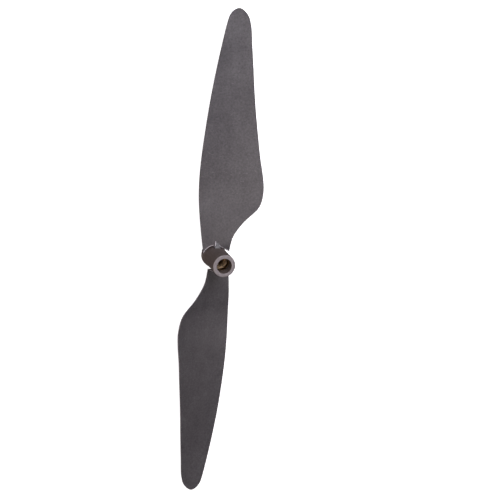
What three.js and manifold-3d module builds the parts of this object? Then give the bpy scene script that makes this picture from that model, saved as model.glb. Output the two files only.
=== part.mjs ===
// A two-blade propeller with a long hub barrel, for a small multicopter.
// Millimetres. +Z is the spin axis and points to the motor. z = 0 is the outer face of the hub's crown,
// which the propeller can stand on. The blades lie along X, and blade A is the one on +X.
// Air is pushed towards the motor, so the propeller turns clockwise when it is seen from the crown side.

import * as THREE from 'three';
import { mergeVertices } from 'three/addons/utils/BufferGeometryUtils.js';
import Module from 'manifold-3d';

const wasm = await Module();
wasm.setup();

// ---- Driving dimensions --------------------------------------------------------------------------

const diameter = 177.8; // tip to tip, 7 inches
const pitchLength = 88.9; // advance in one turn with no slip, 3.5 inches
const steepestPitch = 26.5; // degrees, the blade angle near the hub, where the helix would be steeper
const bladeCount = 2;

const boreDiameter = 5.4; // clears a 5 mm motor shaft
const hubWall = 1.35; // from the bore to the outside of the barrel
const hubHeight = 15.1; // crown and barrel together
const crownHeight = 1.9;
const crownLip = 0.3; // the crown stands out past the barrel by this much
const crownChamfer = 0.5;
const barrelEdge = 0.45; // chamfer round the open end, outside
const mouthChamfer = 0.15; // chamfer at the bore's mouth

const insertBite = 0.4; // how far the insert stands out into the barrel's wall
const insertDepth = 4.0; // from the open end down to the insert
const blindDepth = 1.7; // empty bore between the insert and the crown
const threadDiameter = 4.2; // core of an M5 thread
const knurlDepth = 0.25;
const knurlTeeth = 24;

const rootStart = 1.0; // where the blade's loft begins, inside the barrel
const groundGap = 0.25; // the lowest point of a blade stays this far above the crown's face
const coning = 1.5; // degrees, the blades lean away from the motor
const pivotShare = 0.35; // share of the chord, from the leading edge, that the blade twists about
const tipRounding = 3.6; // length of the rounded tip
const edgeThickness = 0.3; // trailing edge
const camberShare = 0.035; // hollow of the motor-side face, as a share of the chord

const grooveWidth = 0.6; // open groove between the barrel and the blade's root
const grooveFloor = 3.0; // height of the solid web that is left under the groove
const grooveTop = 4.0; // the groove's cutter stands this far above the blade

const ribRootWidth = 2.6; // at the barrel
const ribEndWidth = 0.9;
const ribOffset = 0.3; // the rib stands this far from the hub's centre line, on the leading-edge side
const ribReach = 3.35; // from the barrel out along the blade
const ribRise = 0.6; // height above the blade's face, at the barrel
const ribStation = 0.1; // share of the blade's length where its face height is taken for the rib

const gap = 0.3; // between a piece and the neighbour that it is cut by
const seatGap = 0.05; // round the insert, in its pocket

const rootFanShare = 0.4; // share of the chord where the faces that close the root meet
const tipFanShare = 0.5;
const midThickness = 0.5;
const bladeLetters = 'abcdef';

// Places along the blade, as shares of its length. The edges' offsets from the line through the hub's
// centre and the tips, and the greatest thickness, are in millimetres.
const stations = [
  { at: 0.0, leading: 4.5, trailing: 3.5, thickness: 3.6 },
  { at: 0.034, leading: 5.2, trailing: 3.6, thickness: 3.4 },
  { at: 0.091, leading: 6.1, trailing: 4.4, thickness: 2.8 },
  { at: 0.154, leading: 6.9, trailing: 7.5, thickness: 2.3 },
  { at: 0.216, leading: 7.45, trailing: 11.85, thickness: 2.0 },
  { at: 0.279, leading: 7.85, trailing: 13.0, thickness: 1.8 },
  { at: 0.341, leading: 8.05, trailing: 12.5, thickness: 1.7 },
  { at: 0.421, leading: 8.05, trailing: 11.1, thickness: 1.55 },
  { at: 0.523, leading: 7.7, trailing: 9.65, thickness: 1.4 },
  { at: 0.637, leading: 7.05, trailing: 8.1, thickness: 1.25 },
  { at: 0.751, leading: 6.05, trailing: 6.8, thickness: 1.1 },
  { at: 0.853, leading: 4.9, trailing: 5.6, thickness: 1.0 },
  { at: 0.933, leading: 3.85, trailing: 4.6, thickness: 0.9 },
  { at: 1.0, leading: 2.6, trailing: 2.6, thickness: 0.8 },
];

// ---- Sizes that follow ---------------------------------------------------------------------------

const tipRadius = diameter / 2;
const bladeLength = tipRadius - rootStart;
const boreRadius = boreDiameter / 2;
const hubRadius = boreRadius + hubWall;
const crownRadius = hubRadius + crownLip;
const pocketRadius = boreRadius + insertBite;
const insertTop = hubHeight - insertDepth;
const insertBottom = crownHeight + blindDepth;
const grooveRadius = hubRadius + grooveWidth;

// ---- Materials -----------------------------------------------------------------------------------

const nylon = new THREE.MeshStandardMaterial({ color: 0x4a494c, roughness: 0.55, metalness: 0 });
const brass = new THREE.MeshStandardMaterial({ color: 0xb08a48, roughness: 0.35, metalness: 1 });

// ---- Solids --------------------------------------------------------------------------------------

function toSolid(geometry) {
  const bare = geometry.clone();
  bare.deleteAttribute('normal');
  bare.deleteAttribute('uv');
  const welded = mergeVertices(bare, 1e-5);
  const vertProperties = new Float32Array(welded.attributes.position.array);
  const triVerts = new Uint32Array(welded.index.array);
  return new wasm.Manifold(new wasm.Mesh({ numProp: 3, vertProperties, triVerts }));
}

function toGeometry(solid) {
  const { vertProperties, triVerts } = solid.getMesh();
  const geometry = new THREE.BufferGeometry();
  geometry.setAttribute('position', new THREE.BufferAttribute(vertProperties, 3));
  geometry.setIndex(new THREE.BufferAttribute(triVerts, 1));
  geometry.computeVertexNormals();
  return geometry;
}

// A lathe turned about Z. The profile is a list of [radius, height].
function turned(profile, segments = 64) {
  const points = profile.map(([radius, height]) => new THREE.Vector2(radius, height));
  return new THREE.LatheGeometry(points, segments).rotateX(Math.PI / 2);
}

function rod(radius, bottom, top, segments = 64) {
  return turned([[0, bottom], [radius, bottom], [radius, top], [0, top]], segments);
}

// ---- Blade ---------------------------------------------------------------------------------------

// Slope of the blade's chord at a distance from the axis: a true helix outside, held to the
// steepest pitch near the hub, with a smooth change from one to the other.
function chordSlope(radius) {
  const helix = pitchLength / (2 * Math.PI * radius);
  const limit = Math.tan(THREE.MathUtils.degToRad(steepestPitch));
  const sharpness = 6;
  return (helix ** -sharpness + limit ** -sharpness) ** (-1 / sharpness);
}

function stationCurve(value) {
  return new THREE.SplineCurve(stations.map((s) => new THREE.Vector2(s.at * bladeLength, value(s))));
}

const leadingCurve = stationCurve((s) => s.leading);
const trailingCurve = stationCurve((s) => s.trailing);
const thicknessCurve = stationCurve((s) => s.thickness);

// Thickness of the section at a share of the chord from the leading edge, from 0 to 1.
function thicknessShape(share) {
  const root = Math.sqrt(share);
  return 2.969 * root - 1.26 * share - 3.516 * share ** 2 + 2.843 * share ** 3 - 1.036 * share ** 4;
}

// The blade's section at a share of the station list. y points from the leading to the trailing
// edge on blade A's far side, so the leading edge has the larger y.
function section(along) {
  const place = leadingCurve.getPoint(along);
  const radius = Math.min(rootStart + place.x, tipRadius);
  const inTip = THREE.MathUtils.clamp((radius - (tipRadius - tipRounding)) / tipRounding, 0, 1);
  const rounding = Math.sqrt(Math.max(0, 1 - inTip ** 2));
  const leading = place.y;
  const trailing = trailingCurve.getPoint(along).y;
  const middle = (trailing - leading) / 2;
  const half = ((trailing + leading) / 2) * rounding;
  const pivot = -leading + pivotShare * (leading + trailing);
  return {
    radius,
    front: middle - half,
    chord: 2 * half,
    pivot,
    slope: chordSlope(radius),
    thickness: thicknessCurve.getPoint(along).y * rounding,
    edge: edgeThickness * rounding,
    height: -radius * Math.tan(THREE.MathUtils.degToRad(coning)),
  };
}

// A point of the section: share of the chord, and side 0 for the motor-side face or 1 for the far one.
function sectionPoint(s, share, side) {
  const angle = Math.atan(s.slope);
  const across = s.front + share * s.chord;
  const hollow = camberShare * s.chord * Math.sin(Math.PI * share);
  const body = s.thickness * thicknessShape(share) + s.edge * share;
  const depth = hollow + side * body;
  const y = across + depth * Math.sin(angle);
  const z = s.height + (across - s.pivot) * s.slope - depth * Math.cos(angle);
  return [s.radius, -y, z];
}

function bladeLoft() {
  const sections = 56;
  const sharesPerFace = 14;
  const ring = [];
  for (let k = 0; k <= sharesPerFace; k += 1) {
    ring.push([(1 - Math.cos((Math.PI * k) / sharesPerFace)) / 2, 1]);
  }
  for (let k = sharesPerFace; k > 0; k -= 1) {
    ring.push([(1 - Math.cos((Math.PI * k) / sharesPerFace)) / 2, 0]);
  }
  const positions = [];
  for (let i = 0; i < sections; i += 1) {
    const along = Math.sin((Math.PI / 2) * (i / sections));
    const s = section(along);
    ring.forEach(([share, side]) => positions.push(...sectionPoint(s, share, side)));
  }
  const count = ring.length;
  const rootCentre = positions.length / 3;
  positions.push(...sectionPoint(section(0), rootFanShare, midThickness));
  const tip = rootCentre + 1;
  positions.push(...sectionPoint(section(1), tipFanShare, 0));
  const index = [];
  for (let k = 0; k < count; k += 1) {
    const next = (k + 1) % count;
    index.push(rootCentre, k, next);
    for (let i = 0; i < sections - 1; i += 1) {
      const a = i * count + k;
      const b = i * count + next;
      index.push(a, b + count, b, a, a + count, b + count);
    }
    const last = (sections - 1) * count;
    index.push(last + next, last + k, tip);
  }
  const geometry = new THREE.BufferGeometry();
  geometry.setAttribute('position', new THREE.Float32BufferAttribute(positions, 3));
  geometry.setIndex(index);
  return geometry;
}

const loft = toSolid(bladeLoft());
// The blades are lifted so that the crown's face is the lowest thing on the propeller.
const bladePlane = groundGap - loft.boundingBox().min[2];

const shaftSpace = toSolid(rod(hubRadius + gap, -hubHeight, 2 * hubHeight));
const grooveSpace = toSolid(rod(grooveRadius, grooveFloor, hubHeight + grooveTop));
const crownSpace = toSolid(rod(crownRadius + gap, -gap, crownHeight + gap));
const bladeSolid = loft
  .translate([0, 0, bladePlane])
  .subtract(shaftSpace)
  .subtract(grooveSpace)
  .subtract(crownSpace);

// ---- Root rib ------------------------------------------------------------------------------------

// Height of the blade's motor-side face, where the rib stands on it.
function faceHeight(radius) {
  const s = section(ribStation);
  return bladePlane + s.height + (-ribOffset - s.pivot) * chordSlope(radius);
}

// The rib is a gusset: seen from the side it slopes down along the blade, and seen from the motor it
// narrows along the blade. It is the part that both outlines hold.
function ribSolid() {
  const inner = hubRadius - gap;
  const outer = hubRadius + ribReach;
  const side = new THREE.Shape();
  side.moveTo(inner, grooveFloor + gap);
  side.lineTo(outer, faceHeight(outer) - ribRise);
  side.lineTo(outer, faceHeight(outer) + 2 * gap);
  side.lineTo(inner, faceHeight(inner) + gap + ribRise);
  side.closePath();
  const slabWidth = 2 * ribRootWidth; // wider than the rib, so that only the plan outline sets its width
  const slab = new THREE.ExtrudeGeometry(side, { depth: slabWidth, bevelEnabled: false });
  slab.rotateX(Math.PI / 2).translate(0, ribOffset + slabWidth / 2, 0);
  const plan = new THREE.Shape();
  plan.moveTo(inner, ribOffset - ribRootWidth / 2);
  plan.lineTo(outer, ribOffset - ribEndWidth / 2);
  plan.lineTo(outer, ribOffset + ribEndWidth / 2);
  plan.lineTo(inner, ribOffset + ribRootWidth / 2);
  plan.closePath();
  const post = new THREE.ExtrudeGeometry(plan, { depth: hubHeight, bevelEnabled: false });
  const gusset = toSolid(slab).intersect(toSolid(post));
  return gusset.subtract(shaftSpace).subtract(bladeSolid.translate([0, 0, gap]));
}

// ---- Hub -----------------------------------------------------------------------------------------

function barrel() {
  return turned([
    [boreRadius, crownHeight],
    [hubRadius, crownHeight],
    [hubRadius, hubHeight - barrelEdge],
    [hubRadius - barrelEdge, hubHeight],
    [boreRadius + mouthChamfer, hubHeight],
    [boreRadius, hubHeight - mouthChamfer],
    [boreRadius, insertTop],
    [pocketRadius, insertTop],
    [pocketRadius, insertBottom],
    [boreRadius, insertBottom],
    [boreRadius, crownHeight],
  ]);
}

function crown() {
  return turned([
    [0, 0],
    [crownRadius - crownChamfer, 0],
    [crownRadius, crownChamfer],
    [crownRadius, crownHeight],
    [0, crownHeight],
  ]);
}

function insert() {
  const outer = pocketRadius - seatGap;
  const outline = new THREE.Shape();
  const steps = 2 * knurlTeeth;
  for (let k = 0; k <= steps; k += 1) {
    const angle = (2 * Math.PI * k) / steps;
    const radius = k % 2 === 0 ? outer : outer - knurlDepth;
    const step = k === 0 ? 'moveTo' : 'lineTo';
    outline[step](radius * Math.cos(angle), radius * Math.sin(angle));
  }
  outline.holes.push(new THREE.Path().absarc(0, 0, threadDiameter / 2, 0, 2 * Math.PI, true));
  const depth = insertTop - insertBottom - 2 * seatGap;
  const body = new THREE.ExtrudeGeometry(outline, { depth, bevelEnabled: false, curveSegments: 24 });
  return body.translate(0, 0, insertBottom + seatGap);
}

// ---- Propeller -----------------------------------------------------------------------------------

const group = new THREE.Group();

function place(name, geometry, material, turn = 0) {
  const mesh = new THREE.Mesh(geometry, material);
  mesh.name = name;
  mesh.rotation.z = turn;
  group.add(mesh);
}

const bladeGeometry = toGeometry(bladeSolid);
const ribGeometry = toGeometry(ribSolid());
for (let i = 0; i < bladeCount; i += 1) {
  const letter = bladeLetters[i];
  const turn = (2 * Math.PI * i) / bladeCount;
  place(`blade_${letter}`, bladeGeometry, nylon, turn);
  place(`root_rib_${letter}`, ribGeometry, nylon, turn);
}
place('hub_barrel', barrel(), nylon);
place('hub_crown', crown(), nylon);
place('threaded_insert', insert(), brass);

export default group;
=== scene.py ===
# %% [markdown]
# # A two-blade propeller
#
# This lesson puts the looks on a small multicopter propeller. The real one is a single moulding of
# glass-filled nylon, with a threaded brass insert pressed into its hub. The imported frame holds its
# size and its places, so the first step is to load that frame, and every size below follows from it.

# %% Load the frame
import math

import bpy
import numpy as np
from mathutils import Matrix, Vector


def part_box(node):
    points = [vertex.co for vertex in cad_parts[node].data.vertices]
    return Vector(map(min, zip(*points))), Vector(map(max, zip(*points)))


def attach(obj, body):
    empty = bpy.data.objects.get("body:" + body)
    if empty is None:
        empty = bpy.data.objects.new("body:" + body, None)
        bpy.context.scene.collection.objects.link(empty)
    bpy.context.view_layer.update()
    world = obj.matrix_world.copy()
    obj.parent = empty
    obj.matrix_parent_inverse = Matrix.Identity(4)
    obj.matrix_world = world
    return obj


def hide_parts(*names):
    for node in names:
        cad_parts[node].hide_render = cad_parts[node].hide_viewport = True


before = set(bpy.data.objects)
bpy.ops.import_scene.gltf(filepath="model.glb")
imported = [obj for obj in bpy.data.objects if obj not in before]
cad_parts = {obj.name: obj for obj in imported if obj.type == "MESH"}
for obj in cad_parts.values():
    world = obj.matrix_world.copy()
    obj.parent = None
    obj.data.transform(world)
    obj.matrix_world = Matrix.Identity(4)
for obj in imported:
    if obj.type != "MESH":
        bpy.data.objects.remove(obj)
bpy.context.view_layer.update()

MM = 0.001

# %% [markdown]
# ## Sizes
#
# The barrel, the crown and the insert are read from the frame's own boxes. The few sizes that a box
# can't tell, such as the bore and the blade's outline, repeat the part's design values.

# %% Sizes read from the frame
barrel_low, barrel_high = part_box("hub_barrel")
crown_low, crown_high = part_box("hub_crown")
insert_low, insert_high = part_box("threaded_insert")
blade_low, blade_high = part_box("blade_a")

HUB_RADIUS = barrel_high.x
HUB_TOP = barrel_high.z
CROWN_RADIUS = crown_high.x
CROWN_TOP = crown_high.z
INSERT_RADIUS = insert_high.x
TIP_RADIUS = blade_high.x
print(f"barrel radius {HUB_RADIUS / MM:.2f} mm, height {HUB_TOP / MM:.2f} mm, tip {TIP_RADIUS / MM:.2f} mm")

# %% Design values that the boxes don't hold
BORE_RADIUS = 2.7 * MM
THREAD_CORE_RADIUS = 2.1 * MM
THREAD_PITCH = 0.8 * MM
BARREL_EDGE = 0.45 * MM
MOUTH_CHAMFER = 0.15 * MM
CROWN_CHAMFER = 0.5 * MM
GROOVE_WIDTH = 0.6 * MM
GROOVE_FLOOR = 3.0 * MM
GROOVE_RADIUS = HUB_RADIUS + GROOVE_WIDTH
ROOT_START = 1.0 * MM
TIP_ROUNDING = 3.6 * MM
TRAILING_EDGE = 0.3 * MM
CAMBER_SHARE = 0.035
PIVOT_SHARE = 0.35
PITCH_LENGTH = 88.9 * MM
STEEPEST_PITCH = math.radians(26.5)
CONING = math.radians(1.5)

# Share of the blade's length, then leading offset, trailing offset and thickness in millimetres.
STATIONS = [
    (0.0, 4.5, 3.5, 3.6),
    (0.034, 5.2, 3.6, 3.4),
    (0.091, 6.1, 4.4, 2.8),
    (0.154, 6.9, 7.5, 2.3),
    (0.216, 7.45, 11.85, 2.0),
    (0.279, 7.85, 13.0, 1.8),
    (0.341, 8.05, 12.5, 1.7),
    (0.421, 8.05, 11.1, 1.55),
    (0.523, 7.7, 9.65, 1.4),
    (0.637, 7.05, 8.1, 1.25),
    (0.751, 6.05, 6.8, 1.1),
    (0.853, 4.9, 5.6, 1.0),
    (0.933, 3.85, 4.6, 0.9),
    (1.0, 2.6, 2.6, 0.8),
]

# %% [markdown]
# ## A clean slate, and two helpers
#
# Operators act on whatever is selected, and loading leaves the frame's nodes selected. One helper
# clears the selection. The other takes a finished piece and says what it is: which body it rides on,
# which node it stands for, and which finish it takes.

# %% Helpers for selecting and for finishing
def start_clean():
    if bpy.context.object and bpy.context.object.mode != "OBJECT":
        bpy.ops.object.mode_set(mode="OBJECT")
    bpy.ops.object.select_all(action="DESELECT")


def pick(piece):
    start_clean()
    piece.select_set(True)
    bpy.context.view_layer.objects.active = piece


def settle(piece, name, node, material):
    """Puts a finished piece's place in its mesh, and says what it stands for."""
    pick(piece)
    bpy.ops.object.transform_apply(location=True, rotation=True, scale=True)
    piece.name = name
    piece.data.name = name
    piece.data.materials.clear()
    piece.data.materials.append(material)
    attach(piece, "root")
    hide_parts(node)
    print(f"{name}: {len(piece.data.polygons)} faces")
    return piece


def recalculate_outward(piece, merge=1e-7):
    pick(piece)
    bpy.ops.object.mode_set(mode="EDIT")
    bpy.ops.mesh.select_all(action="SELECT")
    bpy.ops.mesh.remove_doubles(threshold=merge)
    bpy.ops.mesh.normals_make_consistent(inside=False)
    bpy.ops.object.mode_set(mode="OBJECT")


# %% [markdown]
# ## Where the plastic is painted pale: wear and painted highlights
#
# Handling leaves some edges of dark nylon paler than its faces. Highlights on the blades' rims and
# edges, the rib's bevels and the barrel's end face are painted on in the same pale colour. Each moulded
# piece carries a number for this, from 0 on an unpainted face to 1 on a fully painted edge, and the
# finish reads it.

# %% Helper that stores how pale a piece is painted, for wear and painted highlight
WEAR_AND_HIGHLIGHT = "wear_and_highlight"


def store_wear_and_highlight(piece, domain, values):
    attribute = piece.data.attributes.new(WEAR_AND_HIGHLIGHT, "FLOAT", domain)
    attribute.data.foreach_set("value", np.asarray(values, dtype=np.float32))


# %% [markdown]
# ## Finish: dark glass-filled nylon
#
# Moulded nylon with glass in it is a very dark grey that isn't quite even. Fibres near the skin make
# a fine mottle, the melt leaves long soft streaks along the blade, and the skin is matte with a
# slight grain. Noise at four scales gives the colour, the roughness and the bump. Thin scuffs come
# from handling, and lie in patches. The pale edges, partly wear and partly painted highlight, are
# mixed in last, broken up by the mottle.

# %% Nylon finish
def node_maker(material):
    tree = material.node_tree
    tree.nodes.clear()

    def add(kind, **settings):
        made = tree.nodes.new(kind)
        for key, value in settings.items():
            setattr(made, key, value)
        return made

    return tree, add


def set_inputs(made, **values):
    for key, value in values.items():
        made.inputs[key.replace("_", " ")].default_value = value
    return made


def noise(tree, add, vector, scale, detail=3.0, roughness=0.55):
    made = add("ShaderNodeTexNoise")
    set_inputs(made, Scale=scale, Detail=detail, Roughness=roughness)
    tree.links.new(vector, made.inputs["Vector"])
    return made.outputs["Fac"]


def ramp(tree, add, value, low, high, low_colour, high_colour):
    made = add("ShaderNodeValToRGB")
    made.color_ramp.elements[0].position = low
    made.color_ramp.elements[0].color = (*low_colour, 1)
    made.color_ramp.elements[1].position = high
    made.color_ramp.elements[1].color = (*high_colour, 1)
    tree.links.new(value, made.inputs["Fac"])
    return made.outputs["Color"]


def span(tree, add, value, low, high):
    made = add("ShaderNodeMapRange")
    set_inputs(made, From_Min=0.3, From_Max=0.7, To_Min=low, To_Max=high)
    tree.links.new(value, made.inputs["Value"])
    return made.outputs["Result"]


def mixed(tree, add, first, second, share, blend="MULTIPLY"):
    made = add("ShaderNodeMix", data_type="RGBA", blend_type=blend)
    made.inputs["Factor"].default_value = share
    tree.links.new(first, made.inputs["A"])
    tree.links.new(second, made.inputs["B"])
    return made.outputs["Result"]


# pale colour painted on worn edges, and as painted highlights on rims, bevels and the barrel's end face
WEAR_AND_HIGHLIGHT_COLOUR = (0.50, 0.46, 0.49)
MOTTLE_SCALE, CLOUD_SCALE, FLOW_SCALE, GRAIN_SCALE = 1500, 110, 260, 6500  # waves in a metre
FLOW_STRETCH = (0.15, 1, 1)  # streaks lie along the blades
SCUFF_SCALE, SCUFF_PATCH_SCALE = 2600, 75
SCUFF_TURN = 0.9  # radians
SCUFF_STRETCH = (1, 0.04, 1)
GRAIN_STRENGTH, GRAIN_DEPTH = 0.35, 0.04 * MM
NYLON_IOR = 1.53


def wear_and_highlight_over(tree, add, colour, mottle):
    # paints the pale wear and painted highlight over the colour, broken up by the mottle
    wear_and_highlight = add("ShaderNodeAttribute", attribute_name=WEAR_AND_HIGHLIGHT)
    broken = add("ShaderNodeMath", operation="MULTIPLY")
    tree.links.new(wear_and_highlight.outputs["Fac"], broken.inputs[0])
    tree.links.new(span(tree, add, mottle, 0.7, 1.0), broken.inputs[1])
    made = add("ShaderNodeMix", data_type="RGBA")
    made.inputs["B"].default_value = (*WEAR_AND_HIGHLIGHT_COLOUR, 1)
    tree.links.new(broken.outputs["Value"], made.inputs["Factor"])
    tree.links.new(colour, made.inputs["A"])
    return made.outputs["Result"]


def nylon(name, dark, light, rough_low, rough_high, scuffs):
    material = bpy.data.materials.new(name)
    material.use_nodes = True
    tree, add = node_maker(material)
    place = add("ShaderNodeTexCoord").outputs["Object"]
    stretch = add("ShaderNodeMapping")
    stretch.inputs["Scale"].default_value = FLOW_STRETCH
    tree.links.new(place, stretch.inputs["Vector"])
    mottle = noise(tree, add, place, MOTTLE_SCALE, 6, 0.65)
    cloud = noise(tree, add, place, CLOUD_SCALE, 3)
    flow = noise(tree, add, stretch.outputs["Vector"], FLOW_SCALE, 3)
    grain = noise(tree, add, place, GRAIN_SCALE, 2)
    base = ramp(tree, add, mottle, 0.3, 0.7, dark, light)
    streak = ramp(tree, add, flow, 0.3, 0.7, (0.86, 0.85, 0.86), (1, 1, 1))
    speck = ramp(tree, add, grain, 0.35, 0.7, (0.9, 0.9, 0.9), (1, 1, 1))
    patch = ramp(tree, add, cloud, 0.35, 0.65, (0.80, 0.79, 0.80), (1, 1, 1))
    colour = mixed(tree, add, mixed(tree, add, base, streak, 1.0), speck, 1.0)
    colour = mixed(tree, add, colour, patch, 1.0)
    if scuffs:
        turn = add("ShaderNodeMapping")
        turn.inputs["Rotation"].default_value = (0, 0, SCUFF_TURN)
        turn.inputs["Scale"].default_value = SCUFF_STRETCH
        tree.links.new(place, turn.inputs["Vector"])
        lines = noise(tree, add, turn.outputs["Vector"], SCUFF_SCALE, 1)
        scuff = ramp(tree, add, lines, 0.66, 0.72, (0, 0, 0), (0.045, 0.043, 0.046))
        patches = noise(tree, add, place, SCUFF_PATCH_SCALE, 1)
        where = ramp(tree, add, patches, 0.47, 0.60, (0, 0, 0), (1, 1, 1))
        colour = mixed(tree, add, colour, mixed(tree, add, scuff, where, 1.0), 1.0, "ADD")
    colour = wear_and_highlight_over(tree, add, colour, mottle)
    bump = add("ShaderNodeBump")
    set_inputs(bump, Strength=GRAIN_STRENGTH, Distance=GRAIN_DEPTH)
    tree.links.new(grain, bump.inputs["Height"])
    shader = add("ShaderNodeBsdfPrincipled")
    set_inputs(shader, IOR=NYLON_IOR, Metallic=0.0)
    tree.links.new(colour, shader.inputs["Base Color"])
    tree.links.new(span(tree, add, mottle, rough_low, rough_high), shader.inputs["Roughness"])
    tree.links.new(bump.outputs["Normal"], shader.inputs["Normal"])
    output = add("ShaderNodeOutputMaterial")
    tree.links.new(shader.outputs["BSDF"], output.inputs["Surface"])
    return material


BLADE_NYLON = nylon("blade_nylon", (0.066, 0.060, 0.066), (0.128, 0.119, 0.128), 0.36, 0.50, True)
# The hub is the same moulding as the blades, but its copy of the nylon is lighter and warmer: painted light
# that brightens the dark barrel and its end face.
HUB_NYLON_PAINTED_LIGHTER = nylon("hub_nylon_painted_lighter", (0.104, 0.079, 0.070), (0.163, 0.131, 0.120), 0.40, 0.52, False)
print("nylon finishes made")

# %% [markdown]
# ## Finish: machined brass
#
# The insert is turned from brass bar. It shows fine rings from the tool, and it has dulled and
# browned a little where air reaches it. A banded noise along the axis makes the rings.

# %% Brass finish
TARNISH_SCALE, TOOL_RING_SCALE = 700, 9000  # waves in a metre
TOOL_RING_SQUEEZE = (0.05, 0.05, 1)
TOOL_RING_STRENGTH, TOOL_RING_DEPTH = 0.25, 0.02 * MM
TARNISHED_BRASS, CLEAN_BRASS = (0.24, 0.165, 0.105), (0.50, 0.36, 0.21)


def brass():
    material = bpy.data.materials.new("insert_brass")
    material.use_nodes = True
    tree, add = node_maker(material)
    place = add("ShaderNodeTexCoord").outputs["Object"]
    squeeze = add("ShaderNodeMapping")
    squeeze.inputs["Scale"].default_value = TOOL_RING_SQUEEZE
    tree.links.new(place, squeeze.inputs["Vector"])
    tarnish = noise(tree, add, place, TARNISH_SCALE, 4)
    rings = noise(tree, add, squeeze.outputs["Vector"], TOOL_RING_SCALE, 1)
    bump = add("ShaderNodeBump")
    set_inputs(bump, Strength=TOOL_RING_STRENGTH, Distance=TOOL_RING_DEPTH)
    tree.links.new(rings, bump.inputs["Height"])
    shader = add("ShaderNodeBsdfPrincipled")
    set_inputs(shader, Metallic=1.0)
    colour = ramp(tree, add, tarnish, 0.32, 0.68, TARNISHED_BRASS, CLEAN_BRASS)
    tree.links.new(colour, shader.inputs["Base Color"])
    tree.links.new(span(tree, add, tarnish, 0.26, 0.44), shader.inputs["Roughness"])
    tree.links.new(bump.outputs["Normal"], shader.inputs["Normal"])
    output = add("ShaderNodeOutputMaterial")
    tree.links.new(shader.outputs["BSDF"], output.inputs["Surface"])
    return material


INSERT_BRASS = brass()
print("brass finish made")

# %% [markdown]
# ## The blade's outline as curves
#
# A blade is drawn as a list of stations. Between them, its edges and its thickness follow smooth
# curves, here the Catmull-Rom kind, which pass through every station. The twist comes from the
# pitch: each part of the blade climbs the same height in one turn, up to a steepest angle.

# %% Outline and twist
def station_curve(column):
    """Samples one column's Catmull-Rom curve, so that it can be looked up by radius."""
    span_length = TIP_RADIUS - ROOT_START
    points = np.array([(ROOT_START + row[0] * span_length, row[column] * MM) for row in STATIONS])
    padded = np.vstack([points[0], points, points[-1]])
    steps = np.linspace(0, 1, 40, endpoint=False)[:, None]
    pieces = []
    for p0, p1, p2, p3 in zip(padded, padded[1:], padded[2:], padded[3:]):
        v0, v1 = (p2 - p0) / 2, (p3 - p1) / 2
        pieces.append(
            (2 * p1 - 2 * p2 + v0 + v1) * steps**3
            + (-3 * p1 + 3 * p2 - 2 * v0 - v1) * steps**2
            + v0 * steps
            + p1
        )
    return np.vstack([*pieces, points[-1]])


LEADING, TRAILING, THICKNESS = (station_curve(column) for column in (1, 2, 3))


def look_up(curve, radius):
    return np.interp(radius, curve[:, 0], curve[:, 1])


SMALLEST_RADIUS = 0.1 * MM
LIMIT_SHARPNESS = 6  # how abruptly the helix gives way to the steepest angle


def chord_slope(radius):
    helix = PITCH_LENGTH / (2 * np.pi * np.maximum(radius, SMALLEST_RADIUS))
    limit = math.tan(STEEPEST_PITCH)
    return (helix**-LIMIT_SHARPNESS + limit**-LIMIT_SHARPNESS) ** (-1 / LIMIT_SHARPNESS)


third = TIP_RADIUS / 3
chord = look_up(LEADING, third) + look_up(TRAILING, third)
print("chord at a third of the radius:", round(float(chord) / MM, 1), "mm")

# %% [markdown]
# ## The blade
#
# The moulding's blade is an aerofoil that twists and tapers, with a root that curves round the hub
# and a softly rounded rim that catches the light. It could be carved from a block, or lofted by
# hand with an extrude, a resize and a rotate at each station. Here the tube of faces is made by
# extruding a circle once for each station, and its vertices then go to their places by the same
# formula as the part, because the root's curve and the aerofoil's hollow are beyond a resize.

# %% Extrude a tube with one ring for each station
RING = 64
RINGS = 110


def extruded_tube():
    start_clean()
    bpy.ops.mesh.primitive_circle_add(vertices=RING, radius=1, fill_type="NOTHING", location=(0, 0, 0))
    bpy.ops.object.mode_set(mode="EDIT")
    bpy.ops.mesh.select_all(action="SELECT")
    for _ in range(RINGS - 1):
        bpy.ops.mesh.extrude_region_move(TRANSFORM_OT_translate={"value": (0, 0, 1)})
    bpy.ops.object.mode_set(mode="OBJECT")
    return bpy.context.object


# %% Where each vertex of the tube goes
ROOT_RIM = 0.38 * MM  # radius of the rounded rim at the root
TRAILING_ROOT_RADIUS = HUB_RADIUS + 0.22 * MM  # the groove is narrower on the trailing side
ROOT_CORNER = 0.75 * MM  # the root's trailing corner is rounded off by this much
ROOT_BLEND_END = 9.0 * MM  # past this radius the rings are flat
CORNER_START = 0.78  # share of the chord where the rounding of that corner begins
CORNER_POWER = 2.5
LEAST_ARC = 1.2 * MM  # the root's curve round the hub stays at least this far from the centre line
SIDE_CHANGE = 2 * MM  # the groove's width changes over this distance across the centre line
RIM_STEPS = 9
PAST_RIM = np.array([0.06, 0.16, 0.34, 0.62]) * MM  # rings close behind the rim keep its painted light line thin
SETTLING_ROUNDS = 40  # the root's curve and the outline depend on each other, so they settle in rounds
TRAILING_RIM_HIGHLIGHT, LEADING_RIM_HIGHLIGHT = 0.30, 0.10  # how strongly the long edges are painted with a highlight
RIM_WEAR_AND_HIGHLIGHT_END, RIM_WEAR_AND_HIGHLIGHT_FADE = 1.08, 0.12  # where the rim's pale paint, for wear and highlight, ends and how fast it fades, in rim radii
BLADE_MERGE = 2e-6
BLADE_SMOOTH = math.radians(50)


def thickness_shape(share):
    root = np.sqrt(share)
    return 2.969 * root - 1.26 * share - 3.516 * share**2 + 2.843 * share**3 - 1.036 * share**4


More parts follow.
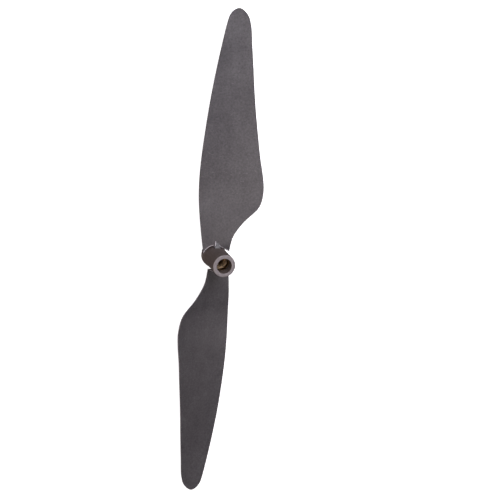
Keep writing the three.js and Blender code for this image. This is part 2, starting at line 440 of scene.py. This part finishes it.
def ring_places(count):
    """Distance along the blade from its root, and the share of the thickness, for each ring."""
    turn = np.linspace(0, np.pi / 2, RIM_STEPS)
    rim_along = ROOT_RIM * (1 - np.cos(turn))
    rim_inset = ROOT_RIM * (1 - np.sin(turn))
    past_rim = ROOT_RIM + PAST_RIM
    plain = count - 1 - len(turn) - len(past_rim)
    run = np.sin(np.linspace(0, np.pi / 2, plain + 1))[1:]
    length = TIP_RADIUS - GROOVE_RADIUS
    along = np.concatenate([[0.0], rim_along, past_rim, past_rim[-1] + (length - past_rim[-1]) * run])
    inset = np.concatenate([[np.inf], rim_inset, np.zeros(len(past_rim) + plain)])
    return along, inset


def blade_points(ring_index, place_index):
    """The place of the vertex at each ring and each step round the ring."""
    along_list, inset_list = ring_places(RINGS)
    along, inset = along_list[ring_index], inset_list[ring_index]
    half = RING // 2
    far_side = place_index <= half
    step = np.where(far_side, place_index, RING - place_index)
    share = (1 - np.cos(np.pi * step / half)) / 2
    radius = GROOVE_RADIUS + along
    for _ in range(SETTLING_ROUNDS):
        chord_front = -look_up(LEADING, radius)
        chord_back = look_up(TRAILING, radius)
        across = chord_front + share * (chord_back - chord_front)
        to_trailing = np.clip(across / SIDE_CHANGE + 0.5, 0, 1)
        root = GROOVE_RADIUS + (TRAILING_ROOT_RADIUS - GROOVE_RADIUS) * to_trailing
        arc = np.sqrt(np.maximum(root**2 - across**2, 0.0))
        to_corner = np.clip((share - CORNER_START) / (1 - CORNER_START), 0, 1)
        arc = np.maximum(arc, LEAST_ARC) + ROOT_CORNER * to_corner**CORNER_POWER
        blend = np.clip(along / (ROOT_BLEND_END - GROOVE_RADIUS), 0, 1)
        radius = (arc + along) * (1 - blend) + (GROOVE_RADIUS + along) * blend
    tip = np.clip((radius - (TIP_RADIUS - TIP_ROUNDING)) / TIP_ROUNDING, 0, 1)
    rounding = np.sqrt(np.maximum(0, 1 - tip**2))
    lead, trail = look_up(LEADING, radius), look_up(TRAILING, radius)
    middle, half_chord = (trail - lead) / 2, (trail + lead) / 2 * rounding
    across = middle - half_chord + share * 2 * half_chord
    pivot = -lead + PIVOT_SHARE * (lead + trail)
    slope = chord_slope(radius)
    angle = np.arctan(slope)
    hollow = CAMBER_SHARE * 2 * half_chord * np.sin(np.pi * share)
    body = look_up(THICKNESS, radius) * rounding * thickness_shape(share) + TRAILING_EDGE * rounding * share
    trim = np.minimum(inset, body / 2 * np.minimum(inset / ROOT_RIM, 1))
    depth = hollow + np.where(far_side, body - trim, trim)
    height = -radius * math.tan(CONING) + (across - pivot) * slope - depth * np.cos(angle)
    return np.stack([radius, -(across + depth * np.sin(angle)), height], axis=1)


def make_blade():
    blade = extruded_tube()
    tube = np.array([v.co for v in blade.data.vertices])
    ring_index = np.rint(tube[:, 2]).astype(int)
    place_index = np.rint(np.arctan2(tube[:, 1], tube[:, 0]) / (2 * np.pi / RING)).astype(int) % RING
    points = blade_points(ring_index, place_index)
    points[:, 1] *= min(1.0, blade_low.y / points[:, 1].min(), blade_high.y / points[:, 1].max())
    points[:, 2] += blade_high.z - points[:, 2].max()
    over = (points[:, 2].min() - blade_low.z) / MM
    print("blade's lowest point over the frame's, in mm:", round(over, 3))
    blade.data.vertices.foreach_set("co", points.astype(np.float32).ravel())
    blade.data.update()
    along, inset = ring_places(RINGS)
    # the root's rim is painted pale, partly as wear and partly as a painted highlight
    past_end = (RIM_WEAR_AND_HIGHLIGHT_END * ROOT_RIM - along) / (RIM_WEAR_AND_HIGHLIGHT_FADE * ROOT_RIM)
    rim = np.clip(past_end, 0, 1)[ring_index]
    # a painted highlight along the long edges, stronger on the trailing edge
    at_trailing = np.abs(place_index - RING // 2) <= 1
    at_leading = (place_index <= 1) | (place_index >= RING - 1)
    edges = TRAILING_RIM_HIGHLIGHT * at_trailing + LEADING_RIM_HIGHLIGHT * at_leading
    store_wear_and_highlight(blade, "POINT", np.maximum(rim, edges))
    recalculate_outward(blade, merge=BLADE_MERGE)
    pick(blade)
    bpy.ops.object.shade_smooth_by_angle(angle=BLADE_SMOOTH)
    return blade


blade_a = make_blade()
print("blade box in mm:", [round(v / MM, 2) for v in blade_a.dimensions])

# %% [markdown]
# ## The web under the groove
#
# An open groove runs round the barrel, and under it a solid web joins the leading half of the root
# to the hub. It is a short sector of a ring: a plane's edge spun about the axis by an operator. The
# operator turns clockwise about the axis that it is given, so a downward axis turns it towards the
# leading edge. Its angles are printed, because the wrong side looks much the same from above.

# %% Spin the web
WEB_START = math.radians(18)
WEB_SWEEP = math.radians(52)
WEB_STEPS = 16
WEB_BITE = 0.1 * MM  # into the barrel
WEB_OVERLAP = 0.5 * MM  # into the blade


def make_web():
    start_clean()
    inner, outer = HUB_RADIUS - WEB_BITE, GROOVE_RADIUS + WEB_OVERLAP
    low, high = CROWN_TOP + WEB_BITE, GROOVE_FLOOR
    bpy.ops.mesh.primitive_plane_add(size=1, location=(0, 0, 0))
    web = bpy.context.object
    corners = [(inner, low), (outer, low), (inner, high), (outer, high)]
    for vertex, (radius, height) in zip(web.data.vertices, corners):
        vertex.co = (radius * math.cos(WEB_START), radius * math.sin(WEB_START), height)
    bpy.ops.object.mode_set(mode="EDIT")
    bpy.ops.mesh.select_all(action="SELECT")
    bpy.ops.mesh.spin(steps=WEB_STEPS, angle=WEB_SWEEP, center=(0, 0, 0), axis=(0, 0, -1))
    bpy.ops.object.mode_set(mode="OBJECT")
    recalculate_outward(web)
    turns = [math.degrees(math.atan2(vertex.co.y, vertex.co.x)) for vertex in web.data.vertices]
    print(f"web spans {min(turns):.0f} to {max(turns):.0f} degrees, on the leading side")
    return web


def joined(target, *others):
    start_clean()
    for piece in (*others, target):
        piece.select_set(True)
    bpy.context.view_layer.objects.active = target
    bpy.ops.object.join()
    return target


blade_a = joined(blade_a, make_web())
print("blade and web:", len(blade_a.data.polygons), "faces")

# %% [markdown]
# ## The second blade
#
# The propeller is the same after half a turn, so the second blade is a copy with its own mesh,
# turned about the spin axis.

# %% Copy and turn
def half_turn_copy(piece):
    pick(piece)
    bpy.ops.object.duplicate(linked=False)
    copy = bpy.context.object
    copy.rotation_euler = (0, 0, math.pi)
    return copy


blade_b = half_turn_copy(blade_a)
settle(blade_a, "blade_a_moulding", "blade_a", BLADE_NYLON)
settle(blade_b, "blade_b_moulding", "blade_b", BLADE_NYLON)

# %% [markdown]
# ## The root ribs
#
# A small gusset stands where each blade meets the barrel. It slopes down along the blade and gets
# narrower. A cube's corners are moved to the gusset's corners, and its edges are bevelled, because a
# moulded edge is never sharp. The bevel's faces are painted pale as a highlight line. A cut at the
# groove keeps the part that crosses it unpainted and dark.

# %% Rib
RIB_END_WIDTH = 0.9 * MM
RIB_END_HEIGHT = 0.9 * MM  # of its outer end, over the bottom of the frame's box
RIB_DEPTH = 0.4 * MM  # how deep it reaches into the blade
RIB_BITE = 0.15 * MM  # how deep it reaches into the barrel
RIB_BEVEL = 0.22 * MM
RIB_BEVEL_SHARE = 0.12  # a face smaller than this share of the widest one belongs to a bevel


def make_rib():
    low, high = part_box("root_rib_a")
    start_clean()
    bpy.ops.mesh.primitive_cube_add(size=1, location=(0, 0, 0))
    rib = bpy.context.object
    centre = (low.y + high.y) / 2
    root_half, end_half = (high.y - low.y) / 2, RIB_END_WIDTH / 2
    inner, outer = HUB_RADIUS - RIB_BITE, high.x
    for vertex in rib.data.vertices:
        at_end = vertex.co.x > 0
        side = 1 if vertex.co.y > 0 else -1
        half_width = end_half if at_end else root_half
        top = low.z + RIB_END_HEIGHT if at_end else high.z
        height = top if vertex.co.z > 0 else low.z - RIB_DEPTH
        vertex.co = (outer if at_end else inner, centre + side * half_width, height)
    bpy.ops.object.mode_set(mode="EDIT")
    bpy.ops.mesh.select_all(action="SELECT")
    bpy.ops.mesh.bevel(offset=RIB_BEVEL, segments=4, affect="EDGES")
    bpy.ops.mesh.select_all(action="SELECT")
    bpy.ops.mesh.bisect(plane_co=(GROOVE_RADIUS, 0, 0), plane_no=(1, 0, 0))
    bpy.ops.object.mode_set(mode="OBJECT")
    widest = max(face.area for face in rib.data.polygons)
    # painted highlight lines on the bevel faces outside the groove
    store_wear_and_highlight(rib, "FACE", [
        1.0 if face.area < RIB_BEVEL_SHARE * widest and face.center.x > GROOVE_RADIUS else 0.0
        for face in rib.data.polygons
    ])
    bpy.ops.object.shade_smooth_by_angle(angle=BLADE_SMOOTH)
    return rib


rib_a = make_rib()
rib_b = half_turn_copy(rib_a)
settle(rib_a, "root_rib_a_moulding", "root_rib_a", BLADE_NYLON)
settle(rib_b, "root_rib_b_moulding", "root_rib_b", BLADE_NYLON)

# %% [markdown]
# ## Turned pieces
#
# The barrel, the crown and the insert are all round. Each is made the way a potter works: a circle is
# extruded from one point of the profile to the next, and resized and lifted as it goes. In a hollow
# piece the last ring meets the first and their doubles are merged, which closes it. In a solid one the
# first and the last ring are each collapsed to a point on the axis.

# %% Turn a profile
def turned(profile, vertices=96, solid=False):
    start_clean()
    radius, height = profile[0]
    bpy.ops.mesh.primitive_circle_add(vertices=vertices, radius=radius, location=(0, 0, height))
    bpy.ops.object.transform_apply(location=True, rotation=True, scale=True)
    piece = bpy.context.object
    bpy.ops.object.mode_set(mode="EDIT")
    bpy.ops.mesh.select_all(action="SELECT")
    for next_radius, next_height in profile[1:] if solid else [*profile[1:], profile[0]]:
        bpy.ops.mesh.extrude_region_move(TRANSFORM_OT_translate={"value": (0, 0, next_height - height)})
        share = next_radius / radius
        bpy.ops.transform.resize(value=(share, share, 1), center_override=(0, 0, next_height))
        radius, height = next_radius, next_height
    if solid:
        bpy.ops.mesh.select_all(action="DESELECT")
        bpy.ops.mesh.select_non_manifold()
        bpy.ops.mesh.edge_collapse()
    bpy.ops.object.mode_set(mode="OBJECT")
    recalculate_outward(piece, merge=1e-6)
    bpy.ops.object.shade_smooth_by_angle(angle=math.radians(35))
    return piece


def rounded(corner_radius, corner_height, size, from_turn, to_turn, steps=6):
    """Points of a quarter round about a centre."""
    angles = np.linspace(math.radians(from_turn), math.radians(to_turn), steps)
    return [(corner_radius + size * math.cos(a), corner_height + size * math.sin(a)) for a in angles]


# %% Barrel
SEAT_GAP = 0.05 * MM  # round the insert, in its pocket
POCKET_RADIUS = INSERT_RADIUS + SEAT_GAP
PARTING_STEP = 0.04 * MM
END_FACE_SHEEN_SHARE = 0.42  # the flat end face gets a painted sheen, paler than the moulded skin


def make_barrel():
    seat_low, seat_high = insert_low.z - SEAT_GAP, insert_high.z + SEAT_GAP
    outer_corner = rounded(HUB_RADIUS - BARREL_EDGE, HUB_TOP - BARREL_EDGE, BARREL_EDGE, 0, 90, 10)
    mouth = rounded(BORE_RADIUS + MOUTH_CHAMFER, HUB_TOP - MOUTH_CHAMFER, MOUTH_CHAMFER, 90, 180, 5)
    profile = [
        (BORE_RADIUS, CROWN_TOP),
        (HUB_RADIUS - PARTING_STEP, CROWN_TOP),
        (HUB_RADIUS - PARTING_STEP, CROWN_TOP + 2 * PARTING_STEP),
        (HUB_RADIUS, CROWN_TOP + 3 * PARTING_STEP),
        *outer_corner,
        *mouth,
        (BORE_RADIUS, seat_high),
        (POCKET_RADIUS, seat_high),
        (POCKET_RADIUS, seat_low),
        (BORE_RADIUS, seat_low),
    ]
    barrel = turned(profile)
    # painted sheen on the flat end face
    end_face = [END_FACE_SHEEN_SHARE if face.normal.z > 0.5 and face.center.z > HUB_TOP - BARREL_EDGE else 0.0
                for face in barrel.data.polygons]
    store_wear_and_highlight(barrel, "FACE", end_face)
    return barrel


settle(make_barrel(), "hub_barrel_moulding", "hub_barrel", HUB_NYLON_PAINTED_LIGHTER)

# %% [markdown]
# ## The crown
#
# The closed end of the hub stands out a little past the barrel. Its outer corner is rounded, and its
# face is slightly dished, as a moulded face is where it shrinks as it cools.

# %% Crown
CROWN_BACK_EDGE = 0.12 * MM
DISH_DEPTH = 0.12 * MM
POLE_RING = 0.8 * MM  # radius of the ring that is collapsed to a point at each end


def make_crown():
    lower = rounded(CROWN_RADIUS - CROWN_CHAMFER, CROWN_CHAMFER, CROWN_CHAMFER, -90, 0, 10)
    edge = CROWN_BACK_EDGE
    upper = rounded(CROWN_RADIUS - edge, CROWN_TOP - edge, edge, 0, 90, 5)
    dish = [(POLE_RING, DISH_DEPTH), (1.6 * MM, 0.10 * MM), (2.6 * MM, 0.02 * MM), (3.0 * MM, 0.0)]
    return turned([*dish, *lower, *upper, (POLE_RING, CROWN_TOP)], solid=True)


settle(make_crown(), "hub_crown_moulding", "hub_crown", HUB_NYLON_PAINTED_LIGHTER)

# %% [markdown]
# ## The threaded insert
#
# The brass insert has a knurl outside, which grips the plastic, and an M5 thread inside. The knurl
# is made by pushing every other line of vertices inwards. The thread is a ridge that winds round the
# bore: a small triangle swept by the Screw modifier, which turns and climbs at once.

# %% Insert
KNURL_TEETH = 24
KNURL_DEPTH = 0.25 * MM
THREAD_HEIGHT = 0.4 * MM
THREAD_BITE = 0.03 * MM  # the ridge's foot reaches this far into the insert
THREAD_HALF_SHARE = 0.36  # half of the ridge's foot, as a share of the pitch
THREAD_STEPS = 64
LEAD_IN = 0.3 * MM


def make_insert_body():
    low, high = insert_low.z, insert_high.z
    thread_root = THREAD_CORE_RADIUS + THREAD_HEIGHT
    profile = [
        (thread_root, low),
        (INSERT_RADIUS, low),
        (INSERT_RADIUS, high),
        (thread_root + LEAD_IN / 2, high),
        (thread_root, high - LEAD_IN),
    ]
    body = turned(profile, vertices=4 * KNURL_TEETH)
    for vertex in body.data.vertices:
        radius = math.hypot(vertex.co.x, vertex.co.y)
        if radius > INSERT_RADIUS - KNURL_DEPTH / 2:
            tooth = math.atan2(vertex.co.y, vertex.co.x) / (2 * math.pi) * KNURL_TEETH
            dip = KNURL_DEPTH * (1 - math.cos(2 * math.pi * tooth)) / 2
            vertex.co.xy *= (radius - dip) / radius
    return body


def make_thread():
    low, high = insert_low.z + 0.2 * MM, insert_high.z - 0.5 * MM
    turns = int((high - low) / THREAD_PITCH) - 1
    start_clean()
    bpy.ops.mesh.primitive_circle_add(vertices=3, radius=1, fill_type="NOTHING", location=(0, 0, 0))
    thread = bpy.context.object
    root = THREAD_CORE_RADIUS + THREAD_HEIGHT + THREAD_BITE
    half = THREAD_HALF_SHARE * THREAD_PITCH
    corners = [(THREAD_CORE_RADIUS, half), (root, 2 * half), (root, 0)]
    for vertex, (radius, lift) in zip(thread.data.vertices, corners):
        vertex.co = (radius, 0, low + lift)
    screw = thread.modifiers.new("thread", "SCREW")
    screw.axis = "Z"
    screw.screw_offset = THREAD_PITCH
    screw.iterations = turns
    screw.steps = THREAD_STEPS
    screw.render_steps = THREAD_STEPS
    bpy.ops.object.modifier_apply(modifier="thread")
    bpy.ops.object.mode_set(mode="EDIT")
    bpy.ops.mesh.select_all(action="SELECT")
    bpy.ops.mesh.fill_holes(sides=3)
    bpy.ops.object.mode_set(mode="OBJECT")
    recalculate_outward(thread)
    return thread


insert = joined(make_insert_body(), make_thread())
pick(insert)
bpy.ops.object.shade_smooth_by_angle(angle=math.radians(30))
settle(insert, "threaded_insert_brass", "threaded_insert", INSERT_BRASS)

# %% [markdown]
# ## Floor
#
# The propeller stands on its crown on a plain pale table. The table glows a little, like a light
# table, so that it stays even and the shadow under the hub stays soft. It is kept out of the
# propeller's own reflections, because a glow from below would wash out the dark barrel.

# %% Floor
FLOOR_SIZE = 6
FLOOR_DROP = 0.2 * MM  # a hair below the crown's face, so that the two never coincide
FLOOR_GLOW = 0.86


def make_floor():
    start_clean()
    bpy.ops.mesh.primitive_plane_add(size=FLOOR_SIZE, location=(0, 0, -FLOOR_DROP))
    floor = bpy.context.object
    floor.name = "floor"
    material = bpy.data.materials.new("pale_table")
    material.use_nodes = True
    shader = material.node_tree.nodes["Principled BSDF"]
    set_inputs(shader, Roughness=0.9)
    shader.inputs["Base Color"].default_value = (0.9, 0.9, 0.9, 1)
    shader.inputs["Emission Color"].default_value = (1, 1, 1, 1)
    shader.inputs["Emission Strength"].default_value = FLOOR_GLOW
    floor.data.materials.append(material)
    floor.visible_diffuse = False
    floor.visible_glossy = False


make_floor()

# %% [markdown]
# ## Camera
#
# A long lens from above and to one side keeps the blades' proportions true. The camera's three
# directions are given, and it is then moved back along its own line of sight.

# %% Camera
CAMERA_RIGHT = Vector((-0.1001, 0.9524, 0.2881))
CAMERA_UP = Vector((-0.9585, -0.0146, -0.2847))
CAMERA_BACK = Vector((-0.2669, -0.3047, 0.9143))
CAMERA_DISTANCE = 776.1 * MM
TARGET = Vector((0, 0, 4.9 * MM))
SIDE_STEP = 11.83 * MM
UP_STEP = 2.80 * MM
SENSOR_WIDTH, LENS = 36, 158.4  # millimetres


def make_camera():
    back = CAMERA_BACK.normalized()
    right = (CAMERA_RIGHT - CAMERA_RIGHT.dot(back) * back).normalized()
    up = back.cross(right)
    data = bpy.data.cameras.new("camera")
    data.sensor_width = SENSOR_WIDTH
    data.lens = LENS
    data.clip_start, data.clip_end = 0.01, 20
    camera = bpy.data.objects.new("camera", data)
    bpy.context.scene.collection.objects.link(camera)
    place = TARGET + SIDE_STEP * right + UP_STEP * up + CAMERA_DISTANCE * back
    turn = Matrix((right, up, back)).transposed()
    camera.matrix_world = Matrix.Translation(place) @ turn.to_4x4()
    bpy.context.scene.camera = camera
    return right, up, back


right, up, back = make_camera()
print("camera up agrees with its list:", round(up.dot(CAMERA_UP.normalized()), 4))

# %% [markdown]
# ## Light
#
# Soft light as in a light tent. A near light over the end of blade B falls off along the propeller,
# and larger ones, from the sides, shape the hollow of each blade. One is low, so that the barrel's
# side isn't lost in the dark. Each light is placed along a direction from the hub, so its distance
# sets how fast it fades.

# %% Lights
COOL, WARM = (0.95, 0.95, 1.0), (1.0, 0.92, 0.90)
WORLD_STRENGTH = 0.035


def area_light(name, direction, distance, size, power, colour):
    data = bpy.data.lights.new(name, "AREA")
    data.shape = "DISK"
    data.size = size
    data.energy = power
    data.color = colour
    light = bpy.data.objects.new(name, data)
    bpy.context.scene.collection.objects.link(light)
    direction = direction.normalized()
    light.location = TARGET + direction * distance
    light.rotation_mode = "QUATERNION"
    light.rotation_quaternion = (-direction).to_track_quat("-Z", "Y")


area_light("near_blade_b", Vector((-0.8, 0.1, 0.9)), 0.30, 0.25, 0.80, COOL)
area_light("from_trailing_side", Vector((0, -0.7, 0.9)), 0.60, 0.40, 0.78, WARM)
area_light("low_for_the_barrel", Vector((0.5, -1.0, 0.25)), 0.50, 0.30, 1.26, WARM)
area_light("from_leading_side", Vector((0, 1.0, 0.6)), 0.60, 0.40, 0.80, WARM)
area_light("overhead", Vector((0.27, 0.30, 0.91)), 0.90, 0.50, 0.25, COOL)

world = bpy.data.worlds.new("studio")
world.use_nodes = True
world.node_tree.nodes["Background"].inputs["Color"].default_value = (1, 1, 1, 1)
world.node_tree.nodes["Background"].inputs["Strength"].default_value = WORLD_STRENGTH
bpy.context.scene.world = world
bpy.context.scene.view_settings.view_transform = "Standard"

# %% [markdown]
# ## A clean end
#
# The looks must not change the part's size. The script ends with nothing selected.

# %% Clear the selection
start_clean()
